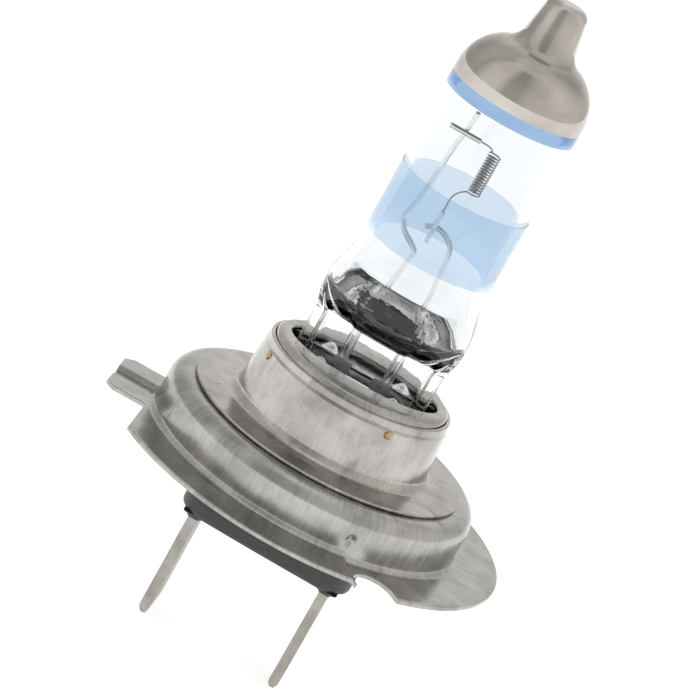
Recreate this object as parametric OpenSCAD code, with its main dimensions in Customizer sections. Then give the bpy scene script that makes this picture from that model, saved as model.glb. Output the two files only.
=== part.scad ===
// Single-filament halogen headlight capsule lamp with a prefocus base.
// Millimetres. +Z is the lamp axis towards the glass tip, and the origin is on that axis
// at the flange's upper face, which seats on the lamp holder. X runs along the flat pinch
// seal and the row of terminals, and the keying tab points to -X.

/* [Quartz bulb] */
// Outer radius of the quartz tube
glass_r = 5.25; // [5.1:0.05:5.4]
// Thickness of the quartz wall
glass_wall = 1.0; // [0.8:0.05:1.2]
// Outer radius of the shoulder above the pinch seal
shoulder_r = 6.0; // [5.8:0.05:6.2]
// Height of the lowest point of the bulb's rounded bottom
bulb_bottom_z = 13.1; // [12.9:0.1:13.3]
// Height where the dome starts
dome_z = 33.7; // [33.5:0.1:33.9]
// Height of the dome's ellipse
dome_h = 3.75; // [3.6:0.05:3.8]
// Height of the tip, the highest point of the lamp
tip_z = 41.3; // [41.0:0.1:41.6]
// Radius of the tip's nub at its top
nub_r = 1.66; // [1.62:0.01:1.7]

/* [Coatings] */
// Thickness of each coating
coat_t = 0.06; // [0.04:0.01:0.1]
// Lower edge of the mirror cap
mirror_z = 33.2; // [33.0:0.1:33.4]
// Height of the narrow blue band below the mirror cap
upper_band_h = 1.0; // [0.6:0.1:1.4]
// Lower edge of the wide blue band
middle_band_z = 19.9; // [19.6:0.1:20.4]
// Height of the wide blue band
middle_band_h = 5.6; // [5.0:0.1:6.0]

/* [Pinch seal] */
// Half the width of the pinch seal, along X
pinch_half_x = 5.5; // [5.3:0.05:5.6]
// Half the thickness of the pinch seal at its rails, along Y
pinch_half_y = 1.9; // [1.7:0.05:2.0]
// Half the thickness of the recessed panels
panel_half_y = 1.1; // [1.0:0.05:1.3]
// Half the width of the thick middle rib
rib_half_x = 1.9; // [1.7:0.05:2.1]
// Width of each edge rail
rail_w = 0.85; // [0.6:0.05:1.0]
// Lower end of the pinch seal
pinch_bottom_z = 4.6; // [4.3:0.1:5.0]

/* [Filament and leads] */
// Distance of the coil's axis from the lamp axis
coil_x = 0.6; // [0.4:0.05:0.7]
// Lower end of the coil
coil_z = 25.5; // [25.4:0.05:25.6]
// Length of the coil
coil_h = 3.4; // [3.3:0.05:3.5]
// Turns of the coil
coil_turns = 15; // [12:1:16]
// Radius of the coil to the middle of its wire
coil_r = 0.43; // [0.38:0.01:0.48]
// Radius of the tungsten wire
filament_wire_r = 0.075; // [0.06:0.005:0.08]
// Radius of the lead wires
lead_r = 0.21; // [0.18:0.01:0.23]
// Radius of the short posts that hold the filament's legs
post_r = 0.2; // [0.16:0.01:0.21]
// Height of the upper post
upper_post_z = 29.35; // [29.3:0.05:29.4]
// Radius of the outer leads below the seal
outer_lead_r = 0.3; // [0.25:0.01:0.35]
// Distance of each sealed lead from the lamp axis
lead_x = 1.7; // [1.6:0.05:1.8]
// Width of each sealing foil
foil_w = 1.5; // [1.3:0.1:1.8]
// Thickness of each sealing foil
foil_t = 0.05; // [0.04:0.01:0.08]
// Upper end of the sealing foils
foil_top_z = 9.7; // [9.5:0.1:10.0]

/* [Neck] */
// Sheet thickness of the neck's parts
neck_t = 0.3; // [0.25:0.05:0.35]
// Outer radius of the holder cup
holder_r = 7.25; // [7.15:0.05:7.3]
// Height of the holder cup's rolled top
holder_top_z = 9.7; // [9.5:0.1:9.9]
// Half-length of the oval opening in the holder cup, along X
mouth_half_x = 6.25; // [6.1:0.05:6.3]
// Half-width of the oval opening in the holder cup, along Y
mouth_half_y = 4.0; // [3.7:0.05:4.2]
// Height of the plate of the pinch clip
clip_z = 9.1; // [8.9:0.05:9.1]
// Outer radius of the sleeve at its rim
sleeve_rim_r = 7.6; // [7.55:0.05:7.65]
// Outer radius of the sleeve at its foot
sleeve_foot_r = 8.05; // [8.0:0.05:8.1]
// Height of the sleeve's rim
sleeve_rim_z = 9.15; // [9.1:0.05:9.2]
// Outer radius of the sleeve's brim
brim_r = 11.25; // [11.0:0.05:11.35]
// Height of the brim's upper face
brim_z = 4.0; // [3.95:0.05:4.1]

/* [Base] */
// Outer radius of the centring collar, which fits a 26 mm hole
collar_r = 12.9; // [12.85:0.01:12.95]
// Radius of the collar's rounded shoulder
collar_round = 1.3; // [1.2:0.05:1.4]
// Sheet thickness of the collar and its flange
sheet_t = 0.35; // [0.3:0.05:0.5]
// Radius of the flange's left lobe
flange_r = 16.4; // [16.0:0.1:16.8]
// Radius of the flange's right lobe
lobe_r = 16.8; // [16.4:0.1:17.0]
// Drop of the right lobe below the seat face
lobe_drop = 0.3; // [0.2:0.05:0.4]
// Angle of each notch between the lobes, from +X
notch_angle = 58.5; // [57:0.5:60]
// Radius of each notch
notch_r = 1.65; // [1.5:0.05:1.8]
// Distance of the flange's straight side from the axis
side_x = 13.1; // [13.0:0.05:13.2]
// Width of the keying tab
tab_w = 7.7; // [7.4:0.1:8.0]
// Distance of the keying tab's end from the axis
tab_x = 16.5; // [16.3:0.1:16.8]
// Width of the groove pressed into the keying tab
groove_w = 2.4; // [2.0:0.1:2.8]
// Depth of the groove pressed into the keying tab
groove_d = 0.42; // [0.3:0.02:0.5]
// Angle that the keying tab is turned about the axis, from -X
keying_turn = 2.3; // [0:0.1:4]

/* [Connector] */
// Half-length of the plastic insulator, along X
insulator_half_x = 7.3; // [7.2:0.05:7.4]
// Half-width of the plastic insulator, along Y
insulator_half_y = 3.4; // [3.3:0.05:3.5]
// Corner radius of the plastic insulator
insulator_corner_r = 2.5; // [2.2:0.1:2.8]
// Lower face of the plastic insulator
insulator_z = -6.4; // [-6.6:0.1:-6.2]
// Distance of each terminal's middle plane from the lamp axis
terminal_x = 5.75; // [5.7:0.05:5.8]
// Thickness of each terminal blade
terminal_t = 0.8; // [0.75:0.01:0.85]
// Width of each terminal blade
terminal_w = 4.8; // [4.6:0.1:5.0]
// Height of the terminals' tips
terminal_tip_z = -15.9; // [-16.4:0.1:-15.4]

/* [Hidden] */
$fn = 96;
eps = 0.01;
wire_sides = 8;
// Bulb profile
blend_h = 5;
shoulder_round = 1.4;
shoulder_z = bulb_bottom_z + shoulder_round;
nub_fillet = 1.6;
nub_lean = 10;
dome_flat_r = 1.6;
dome_end = 67.4;
fillet_start = 246.9;
tip_round = 0.8;
taper_h = 4;
cavity_floor_z = bulb_bottom_z + 0.6;
cavity_round = 1.2;
// Coatings
upper_band_z = mirror_z - upper_band_h;
// Leads: where each wire crosses the others, it runs one wire's width to the front
post_y = -(lead_r + post_r + 0.01);
lead_bottom_z = foil_top_z - 0.8;
foil_bottom_z = pinch_bottom_z + 0.7;
foil_y = -(outer_lead_r + foil_t + eps);
outer_lead_top_z = foil_bottom_z + 0.9;
long_lead_route = [[-2.0, 0, 31], [-2.15, 0, 29.4], [-2.4, 0, 27.4], [-2.6, 0, 24.6], [-2.95, 0, 22],
    [-3.05, 0, 21.3], [-2.6, 0, 20.6], [-1.7, 0, 20], [-1.15, 0, 19.5], [-1.2, 0, 18.8], [-1.35, 0, 17.6],
    [-1.6, 0, 15.6], [-lead_x, 0, 14.2], [-lead_x, 0, lead_bottom_z]];
short_lead_route = [[-1.3, 0, 21.7], [-0.5, 0, 21.95], [0.35, 0, 21.75], [1.0, 0, 21.2], [1.25, 0, 20.5],
    [1.4, 0, 19.2], [1.55, 0, 16.9], [lead_x, 0, 14.2], [lead_x, 0, lead_bottom_z]];
upper_post_x = [-3.4, -0.75];
lower_post_x = -0.68;
lower_post_z = [20.7, 23.45];
leg_steps = 4;
steps_per_turn = 12;
// Neck
holder_bottom_z = 2.6;
holder_round = 0.8;
clip_r = holder_r - neck_t - 0.05;
clip_bottom_z = pinch_bottom_z;
clip_slot_half_x = 6.3;
clip_slot_half_y = pinch_half_y + 0.05;
dimple_x = 3.1;
dimple_y = 2.75;
dimple_r = 0.8;
weld_z = 8.1;
weld_r = 0.32;
weld_angle = 32;
brim_weld_angle = 20;
brim_weld_d = 9.8;
brim_weld_r = 0.5;
brim_root_r = 0.9;
// Base
collar_top_z = brim_z - neck_t;
collar_mouth_r = 9.3;
root_fillet = 0.5;
collar_wall_z = collar_top_z - collar_round;
bore_r = collar_r - sheet_t;
tab_chamfer = 0.7;
plate_half_angle = 64;
notch_inset = 0.65;
groove_slope = 0.35;
groove_wall_t = 0.4;
rear_plate_t = 0.6;
rear_plate_z = -0.6;
// Connector
insulator_wall = 1.1;
insulator_floor_t = 1.8;
lip_w = 0.9;
lip_h = 0.8;
root_flare_h = 0.35;
inner_tab_t = 0.7;
inner_tab_w = 3;
inner_tab_z = insulator_z + insulator_floor_t;
inner_tab_end_x = 0.9;
tip_chamfer = 0.5;
weld_nugget_r = 0.55;
weld_nugget_h = 0.4;

function unit(v) = v / norm(v);
function arc(cx, cy, r, a0, a1, n) =
    [for (i = [0:n]) let (a = a0 + (a1 - a0) * i / n) [cx + r * cos(a), cy + r * sin(a)]];
function oval(a, b, n) = [for (i = [0:n - 1]) [a * cos(360 * i / n), b * sin(360 * i / n)]];

// A smooth curve through the route's points, with n steps between two points
function spline_point(a, b, c, d, t) =
    (2 * b + (c - a) * t + (2 * a - 5 * b + 4 * c - d) * t * t + (3 * b - a - 3 * c + d) * t * t * t) / 2;
function smooth(p, n) = concat(
    [for (i = [0:len(p) - 2], j = [0:n - 1])
        spline_point(p[max(i - 1, 0)], p[i], p[i + 1], p[min(i + 2, len(p) - 1)], j / n)],
    [p[len(p) - 1]]);

// A round wire swept along a path, closed at both ends
module wire(path, r, side) {
    last = len(path) - 1;
    t = [for (i = [0:last]) unit(path[min(i + 1, last)] - path[max(i - 1, 0)])];
    n = [for (i = 0, v = side; i <= last; i = i + 1,
        v = i > last ? v : unit(v - (v * t[i]) * t[i])) unit(v - (v * t[i]) * t[i])];
    points = [for (i = [0:last], k = [0:wire_sides - 1]) let (a = 360 * k / wire_sides)
        path[i] + r * (cos(a) * n[i] + sin(a) * cross(t[i], n[i]))];
    sides = [for (i = [0:last - 1], k = [0:wire_sides - 1]) let (next = (k + 1) % wire_sides)
        [i * wire_sides + k, i * wire_sides + next, (i + 1) * wire_sides + next, (i + 1) * wire_sides + k]];
    start = [for (k = [wire_sides - 1:-1:0]) k];
    end = [for (k = [0:wire_sides - 1]) last * wire_sides + k];
    polyhedron(points, [for (f = concat(sides, [start, end])) [for (k = [len(f) - 1:-1:0]) f[k]]]);
}

// Outer half-profile of the dome and the tip, from the given height to the axis
function dome_point(a) = [dome_flat_r + (glass_r - dome_flat_r) * cos(a), dome_z + dome_h * sin(a)];
fillet_centre = dome_point(dome_end) - nub_fillet * [cos(fillet_start), sin(fillet_start)];
function dome_profile(from_z) = concat(
    [[glass_r, from_z]],
    [for (i = [0:9]) dome_point(dome_end * i / 9)],
    [for (i = [1:7]) let (a = fillet_start + (180 + nub_lean - fillet_start) * i / 7)
        fillet_centre + nub_fillet * [cos(a), sin(a)]],
    arc(nub_r - tip_round, tip_z - tip_round, tip_round, nub_lean, 90, 6));
function outward(p, d) = let (last = len(p) - 1) [for (i = [0:last])
    let (t = unit(p[min(i + 1, last)] - p[max(i - 1, 0)]))
        p[i] + d * (i == last ? [0, 1] : i == 0 ? [1, 0] : [t[1], -t[0]])];

// Outer half-profile of the shoulder, from the axis up to the tube
shoulder_profile = concat([[0, bulb_bottom_z]],
    arc(shoulder_r - shoulder_round, shoulder_z, shoulder_round, -90, 0, 8),
    [for (i = [1:8]) [glass_r + (shoulder_r - glass_r) * (1 + cos(180 * i / 8)) / 2,
        shoulder_z + blend_h * i / 8]]);

// The bulb's bottom flattens into the pinch seal: half-profile in Y and Z, inset by a wall
module bottom_taper(wall) {
    half = concat([[pinch_half_y - wall, bulb_bottom_z - 1]],
        [for (i = [0:8]) [pinch_half_y - wall + (shoulder_r - pinch_half_y) * sin(90 * i / 8),
            bulb_bottom_z - 0.5 + wall + taper_h * (1 - cos(90 * i / 8))]],
        [[shoulder_r + 1, bulb_bottom_z + taper_h + wall], [shoulder_r + 1, tip_z + 1]]);
    rotate([90, 0, 90]) linear_extrude(2 * shoulder_r + 2, center = true)
        polygon(concat(half, [for (i = [len(half) - 1:-1:0]) [-half[i][0], half[i][1]]]));
}

module pinch_section() {
    for (s = [-1, 1])
        translate([s * (pinch_half_x - rail_w / 2), 0]) square([rail_w, 2 * pinch_half_y], center = true);
    square([2 * rib_half_x, 2 * pinch_half_y - 0.3], center = true);
    square([2 * pinch_half_x - rail_w, 2 * panel_half_y], center = true);
}

module cavity() {
    r = glass_r - glass_wall;
    intersection() {
        rotate_extrude() polygon(concat([[0, cavity_floor_z]],
            arc(r - cavity_round, cavity_floor_z + cavity_round, cavity_round, -90, 0, 8),
            [for (i = [0:10]) [r * cos(9 * i), dome_z + (dome_h - 1.1) * sin(9 * i)]]));
        bottom_taper(glass_wall);
    }
}

module sealed_metal() {
    for (s = [-1, 1]) translate([s * lead_x, 0, 0]) {
        translate([0, 0, lead_bottom_z]) cylinder(r = lead_r, h = cavity_floor_z + 1 - lead_bottom_z);
        translate([0, 0, pinch_bottom_z - 1]) cylinder(r = outer_lead_r, h = outer_lead_top_z - pinch_bottom_z + 1);
        foil_solid();
    }
}

module foil_solid() {
    translate([-foil_w / 2, foil_y, foil_bottom_z]) cube([foil_w, foil_t, foil_top_z - foil_bottom_z]);
}

module glass_envelope() color([0.85, 0.9, 0.95, 0.4]) difference() {
    union() {
        intersection() {
            rotate_extrude() polygon(concat(shoulder_profile, dome_profile(dome_z - eps), [[0, tip_z]]));
            bottom_taper(0);
        }
        translate([0, 0, pinch_bottom_z]) linear_extrude(shoulder_z - pinch_bottom_z) pinch_section();
    }
    cavity();
    sealed_metal();
}

module mirror_cap() color([0.75, 0.72, 0.68]) {
    skin = dome_profile(mirror_z);
    outer = outward(skin, coat_t);
    rotate_extrude() polygon(concat(skin, [[0, tip_z], [0, tip_z + coat_t]],
        [for (i = [len(outer) - 1:-1:0]) outer[i]]));
}

module band(z, h) translate([0, 0, z]) difference() {
    cylinder(r = glass_r + coat_t, h = h);
    translate([0, 0, -1]) cylinder(r = glass_r, h = h + 2);
}

module upper_blue_band() color([0.45, 0.57, 0.8]) band(upper_band_z, upper_band_h);

module middle_blue_band() color([0.65, 0.75, 0.87]) band(middle_band_z, middle_band_h);

// Coil with a leg at each end: the upper leg runs to the upper post, the lower leg to the lower post
module filament_coil() color([0.35, 0.35, 0.37]) {
    coil = [for (i = [0:coil_turns * steps_per_turn]) let (a = 180 + 360 * i / steps_per_turn)
        [coil_x + coil_r * cos(a), coil_r * sin(a), coil_z + coil_h * i / (coil_turns * steps_per_turn)]];
    top = coil[len(coil) - 1];
    lower_leg = smooth([[lower_post_x, post_y, lower_post_z[1]], [lower_post_x, post_y, 24.5],
        [-0.4, -0.2, 25.1], coil[0]], leg_steps);
    upper_leg = smooth([top, [coil_x - coil_r + 0.1, -0.2, top[2] + 0.25],
        [-0.2, post_y, upper_post_z], [upper_post_x[1], post_y, upper_post_z]], leg_steps);
    path = concat([for (i = [0:len(lower_leg) - 2]) lower_leg[i]], coil,
        [for (i = [1:len(upper_leg) - 1]) upper_leg[i]]);
    wire(path, filament_wire_r, [1, 0, 0]);
}

module long_lead_wire() color([0.6, 0.6, 0.6]) wire(smooth(long_lead_route, 3), lead_r, [0, 1, 0]);

module short_lead_wire() color([0.6, 0.6, 0.6]) wire(smooth(short_lead_route, 3), lead_r, [0, 1, 0]);

module upper_post() color([0.5, 0.5, 0.5])
    translate([upper_post_x[0], post_y, upper_post_z]) rotate([0, 90, 0])
        cylinder(r = post_r, h = upper_post_x[1] - upper_post_x[0]);

module lower_post() color([0.5, 0.5, 0.5])
    translate([lower_post_x, post_y, lower_post_z[0]])
        cylinder(r = post_r, h = lower_post_z[1] - lower_post_z[0]);

module sealing_foil(side) color([0.35, 0.36, 0.37]) translate([side * lead_x, 0, 0]) foil_solid();

module left_sealing_foil() sealing_foil(-1);

module right_sealing_foil() sealing_foil(1);

module outer_lead(side) color([0.6, 0.6, 0.6])
    translate([side * lead_x, 0, inner_tab_z + inner_tab_t + weld_nugget_h])
        cylinder(r = outer_lead_r, h = outer_lead_top_z - inner_tab_z - inner_tab_t - weld_nugget_h);

module left_outer_lead() outer_lead(-1);

module right_outer_lead() outer_lead(1);

// Cup inside the holder cup: its slotted top grips the pinch seal and carries four pressed dimples
module pinch_clip() color([0.8, 0.79, 0.76]) {
    difference() {
        translate([0, 0, clip_bottom_z]) cylinder(r = clip_r, h = clip_z - clip_bottom_z);
        translate([0, 0, clip_bottom_z - 1]) cylinder(r = clip_r - neck_t, h = clip_z - neck_t - clip_bottom_z + 1);
        cube([2 * clip_slot_half_x, 2 * clip_slot_half_y, 4 * clip_z], center = true);
    }
    for (sx = [-1, 1], sy = [-1, 1]) translate([sx * dimple_x, sy * dimple_y, clip_z - neck_t])
        intersection() {
            sphere(r = dimple_r);
            cylinder(r = 2 * dimple_r, h = 2 * dimple_r);
        }
}

module holder_cup() color([0.78, 0.77, 0.74]) difference() {
    rotate_extrude() polygon(concat([[0, holder_top_z - neck_t]],
        arc(holder_r - holder_round, holder_top_z - holder_round, holder_round - neck_t, 90, 0, 6),
        [[holder_r - neck_t, holder_bottom_z], [holder_r, holder_bottom_z]],
        arc(holder_r - holder_round, holder_top_z - holder_round, holder_round, 0, 90, 8),
        [[0, holder_top_z]]));
    translate([0, 0, holder_top_z - 1]) linear_extrude(2) polygon(oval(mouth_half_x, mouth_half_y, 64));
}

module weld_pins() for (i = [0:3]) rotate([0, 0, weld_angle + 90 * i])
    translate([holder_r, 0, weld_z]) rotate([0, 90, 0]) cylinder(r = weld_r, h = 1);

module brim_weld_pins(h) for (i = [0:3]) rotate([0, 0, brim_weld_angle + 90 * i])
    translate([brim_weld_d, 0, collar_top_z]) cylinder(r = brim_weld_r, h = h);

module adjusting_sleeve() color([0.74, 0.73, 0.71]) difference() {
    root = sleeve_foot_r + brim_root_r;
    rotate_extrude() polygon(concat([[sleeve_rim_r, sleeve_rim_z], [sleeve_rim_r - neck_t, sleeve_rim_z]],
        [for (p = arc(root, brim_z + brim_root_r, brim_root_r + neck_t, 180, 270, 8)) p],
        [[brim_r, brim_z - neck_t], [brim_r, brim_z]],
        [for (p = arc(root, brim_z + brim_root_r, brim_root_r, 270, 180, 8)) p]));
    weld_pins();
    translate([0, 0, -1]) brim_weld_pins(3);
}

module sleeve_welds() color([0.6, 0.5, 0.3]) intersection() {
    weld_pins();
    translate([0, 0, weld_z - 1]) cylinder(r = sleeve_rim_r + 0.2, h = 2);
}

module brim_welds() color([0.7, 0.68, 0.64]) brim_weld_pins(neck_t + 0.02);

module notches() for (s = [-1, 1]) rotate([0, 0, s * notch_angle])
    translate([flange_r - notch_inset, 0]) hull() {
        circle(r = notch_r, $fn = 32);
        translate([3, 0]) circle(r = notch_r, $fn = 32);
    }

module tab_outline() {
    w = tab_w / 2;
    polygon([[-bore_r, -w], [tab_chamfer - tab_x, -w], [-tab_x, tab_chamfer - w], [-tab_x, w - tab_chamfer],
        [tab_chamfer - tab_x, w], [-bore_r, w]]);
}

// Outline of the flange's left lobe, with the straight side and the keying tab
module left_lobe_outline() difference() {
    union() {
        difference() {
            circle(r = flange_r);
            polygon([[0, 0], 30 * [cos(plate_half_angle), -sin(plate_half_angle)], [40, 0],
                30 * [cos(plate_half_angle), sin(plate_half_angle)]]);
            translate([-side_x - 20, -20]) square([20, 40]);
        }
        tab_outline();
    }
    translate([-tab_x - 1, -groove_w / 2]) square([tab_x + 1 - collar_r - groove_wall_t, groove_w]);
}

// Groove pressed down into the keying tab: a channel of the same sheet
module tab_groove() {
    top = groove_w / 2;
    low = top - groove_slope;
    intersection() {
        translate([-tab_x - 1, 0, 0]) rotate([90, 0, 90]) linear_extrude(tab_x + 1 - collar_r - groove_wall_t + eps)
            polygon([[-top - eps, 0], [-low, -groove_d], [low, -groove_d], [top + eps, 0], [top + eps, -sheet_t],
                [low + sheet_t / 3, -groove_d - sheet_t], [-low - sheet_t / 3, -groove_d - sheet_t],
                [-top - eps, -sheet_t]]);
        translate([0, 0, -2]) linear_extrude(3) tab_outline();
    }
    translate([-collar_r - groove_wall_t, -top, -groove_d - sheet_t])
        cube([groove_wall_t, groove_w, groove_d + sheet_t]);
}

module right_lobe_outline() difference() {
    intersection() {
        circle(r = lobe_r);
        polygon([[0, 0], 30 * [cos(plate_half_angle), -sin(plate_half_angle)], [40, 0],
            30 * [cos(plate_half_angle), sin(plate_half_angle)]]);
    }
    notches();
}

// Stamped ring: rounded collar, two-level flange and grooved keying tab
module collar_flange() color([0.72, 0.71, 0.69]) rotate([0, 0, keying_turn]) {
    rotate_extrude() polygon(concat([[collar_mouth_r, collar_top_z]],
        arc(collar_r - collar_round, collar_wall_z, collar_round, 90, 0, 8),
        arc(collar_r + root_fillet, root_fillet, root_fillet, 180, 270, 5),
        [[collar_r + root_fillet, -sheet_t], [bore_r, -sheet_t]],
        arc(collar_r - collar_round, collar_wall_z, collar_round - sheet_t, 0, 90, 6),
        [[collar_mouth_r, collar_top_z - sheet_t]]));
    translate([0, 0, -sheet_t]) linear_extrude(sheet_t) difference() {
        left_lobe_outline();
        circle(r = bore_r + 0.1);
        notches();
    }
    translate([0, 0, -sheet_t - lobe_drop]) linear_extrude(sheet_t + eps) difference() {
        right_lobe_outline();
        circle(r = bore_r);
    }
    tab_groove();
}

module rounded_box(half_x, half_y, corner, z0, z1) translate([0, 0, z0]) linear_extrude(z1 - z0) {
    square([2 * half_x, 2 * (half_y - corner)], center = true);
    square([2 * (half_x - corner), 2 * half_y], center = true);
    for (sx = [-1, 1], sy = [-1, 1])
        translate([sx * (half_x - corner), sy * (half_y - corner)]) circle(r = corner);
}

// Round plate that closes the collar's back and holds the insulator by its lip
module rear_plate() color([0.7, 0.69, 0.67]) difference() {
    translate([0, 0, rear_plate_z]) cylinder(r = bore_r - 0.1, h = rear_plate_t);
    rounded_box(insulator_half_x + 0.05, insulator_half_y + 0.05, insulator_corner_r, -2, 1);
}

module terminal_root(s) hull() {
    translate([s * terminal_x, 0, insulator_z]) cube([terminal_t + 1.0, terminal_w + 1.0, 2 * eps], center = true);
    translate([s * terminal_x, 0, insulator_z - root_flare_h])
        cube([terminal_t + 0.2, terminal_w + 0.2, 2 * eps], center = true);
}

module insulator() color([0.2, 0.2, 0.2]) difference() {
    union() {
        rounded_box(insulator_half_x, insulator_half_y, insulator_corner_r, insulator_z, rear_plate_z + rear_plate_t);
        rounded_box(insulator_half_x + lip_w, insulator_half_y + lip_w, insulator_corner_r,
            rear_plate_z + rear_plate_t, rear_plate_z + rear_plate_t + lip_h);
        for (s = [-1, 1]) terminal_root(s);
    }
    rounded_box(insulator_half_x - insulator_wall, insulator_half_y - insulator_wall,
        insulator_corner_r - insulator_wall, inner_tab_z, 1);
    for (s = [-1, 1]) translate([s * terminal_x, 0, insulator_z])
        cube([terminal_t, terminal_w, 2 * insulator_floor_t + 1], center = true);
    for (s = [-1, 1]) translate([s * terminal_x, 0, inner_tab_z + 1])
        cube([terminal_t, terminal_w, 2], center = true);
}

// Blade with bevelled tip, and an inner tab that the outer lead is welded to
module terminal(side) color([0.6, 0.58, 0.55]) mirror([side < 0 ? 1 : 0, 0, 0]) {
    t = terminal_t / 2;
    w = terminal_w / 2;
    intersection() {
        translate([terminal_x, w, 0]) rotate([90, 0, 0]) linear_extrude(terminal_w)
            polygon([[-t, inner_tab_z + inner_tab_t], [-t, terminal_tip_z + tip_chamfer], [-t / 3, terminal_tip_z],
                [t / 3, terminal_tip_z], [t, terminal_tip_z + tip_chamfer], [t, inner_tab_z + inner_tab_t]]);
        rotate([90, 0, 90]) linear_extrude(2 * terminal_x)
            polygon([[-w, 0], [-w, terminal_tip_z + 2 * tip_chamfer], [2 * tip_chamfer - w, terminal_tip_z],
                [w - 2 * tip_chamfer, terminal_tip_z], [w, terminal_tip_z + 2 * tip_chamfer], [w, 0]]);
    }
    translate([inner_tab_end_x, -inner_tab_w / 2, inner_tab_z])
        cube([terminal_x - inner_tab_end_x, inner_tab_w, inner_tab_t]);
}

module left_terminal() terminal(-1);

module right_terminal() terminal(1);

module lead_weld(side) color([0.5, 0.48, 0.45])
    translate([side * lead_x, 0, inner_tab_z + inner_tab_t]) cylinder(r = weld_nugget_r, h = weld_nugget_h);

module left_lead_weld() lead_weld(-1);

module right_lead_weld() lead_weld(1);

glass_envelope();
mirror_cap();
upper_blue_band();
middle_blue_band();
filament_coil();
long_lead_wire();
short_lead_wire();
upper_post();
lower_post();
left_sealing_foil();
right_sealing_foil();
left_outer_lead();
right_outer_lead();
pinch_clip();
holder_cup();
adjusting_sleeve();
sleeve_welds();
brim_welds();
collar_flange();
rear_plate();
insulator();
left_terminal();
right_terminal();
left_lead_weld();
right_lead_weld();
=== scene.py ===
import math

import bmesh
import bpy
from mathutils import Matrix, Vector


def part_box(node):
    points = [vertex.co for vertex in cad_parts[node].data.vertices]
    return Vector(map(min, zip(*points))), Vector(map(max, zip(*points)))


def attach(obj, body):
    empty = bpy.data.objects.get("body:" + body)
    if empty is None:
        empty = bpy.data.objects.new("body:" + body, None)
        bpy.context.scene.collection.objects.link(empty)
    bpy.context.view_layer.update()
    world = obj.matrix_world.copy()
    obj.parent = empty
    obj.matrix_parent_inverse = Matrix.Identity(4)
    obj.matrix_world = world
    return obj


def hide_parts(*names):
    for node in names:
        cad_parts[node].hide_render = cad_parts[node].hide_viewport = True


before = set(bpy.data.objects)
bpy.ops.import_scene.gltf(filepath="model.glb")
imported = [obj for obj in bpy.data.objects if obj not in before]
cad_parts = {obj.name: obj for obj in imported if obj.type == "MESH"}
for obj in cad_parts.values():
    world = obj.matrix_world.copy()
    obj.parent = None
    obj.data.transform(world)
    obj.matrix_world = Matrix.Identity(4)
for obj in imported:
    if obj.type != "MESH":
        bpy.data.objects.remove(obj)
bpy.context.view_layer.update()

# Lengths below are millimetres along the part's own axes, and MM turns them into metres.
MM = 0.001


def low(node):
    return [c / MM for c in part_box(node)[0]]


def high(node):
    return [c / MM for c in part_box(node)[1]]


# ---------------------------------------------------------------- driving sizes, from the frame
GLASS_R = high("middle_blue_band")[0] - 0.06
SHOULDER_R = high("glass_envelope")[0]
TIP_Z = high("glass_envelope")[2]
PINCH_BOTTOM_Z = low("glass_envelope")[2]
BAND_Z = (low("middle_blue_band")[2], high("middle_blue_band")[2])
UPPER_BAND_Z = (low("upper_blue_band")[2], high("upper_blue_band")[2])
MIRROR_Z = low("mirror_cap")[2]
HOLDER_R = high("holder_cup")[0]
HOLDER_Z = (low("holder_cup")[2], high("holder_cup")[2])
CLIP_R = high("pinch_clip")[0]
BRIM_R = high("adjusting_sleeve")[0]
SLEEVE_Z = high("adjusting_sleeve")[2]
BRIM_Z = high("brim_welds")[2] - 0.02
COLLAR_TOP_Z = high("collar_flange")[2]
LOBE_R = 16.8
COIL_Z = (25.5, 28.9)
FLOOR_Z = low("left_terminal")[2]


# ---------------------------------------------------------------- mesh helpers
def piece(name, verts, faces, material, nodes=(), sharp=35, hollow_from=None):
    """One object from a mesh. Faces from hollow_from on bound a sealed hollow and face into it."""
    mesh = bpy.data.meshes.new(name)
    mesh.from_pydata([[c * MM for c in v] for v in verts], [], faces)
    bm = bmesh.new()
    bm.from_mesh(mesh)
    bmesh.ops.recalc_face_normals(bm, faces=bm.faces)
    if hollow_from is not None:
        bmesh.ops.reverse_faces(bm, faces=bm.faces[hollow_from:])
    bm.to_mesh(mesh)
    bm.free()
    mesh.shade_smooth()
    mesh.set_sharp_from_angle(angle=math.radians(sharp))
    mesh.materials.append(material)
    obj = bpy.data.objects.new(name, mesh)
    bpy.context.scene.collection.objects.link(obj)
    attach(obj, "root")
    if nodes:
        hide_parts(*nodes)
    return obj


def rounded(points, steps=6):
    """A closed outline whose corners (x, y, fillet radius) are rounded."""
    out = []
    count = len(points)
    for i, (x, y, r) in enumerate(points):
        p = Vector((x, y))
        if r <= 0:
            out.append((x, y))
            continue
        a = Vector(points[i - 1][:2]) - p
        b = Vector(points[(i + 1) % count][:2]) - p
        turn = a.angle(b)
        reach = min(r / math.tan(turn / 2), 0.49 * a.length, 0.49 * b.length)
        r = reach * math.tan(turn / 2)
        middle = p + (a.normalized() + b.normalized()).normalized() * (r / math.sin(turn / 2))
        start, end = p + a.normalized() * reach - middle, p + b.normalized() * reach - middle
        sweep = math.pi - turn
        sign = 1 if start.x * end.y - start.y * end.x > 0 else -1
        for k in range(steps + 1):
            c, s = math.cos(sign * sweep * k / steps), math.sin(sign * sweep * k / steps)
            out.append((middle.x + start.x * c - start.y * s, middle.y + start.x * s + start.y * c))
    return out


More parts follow.
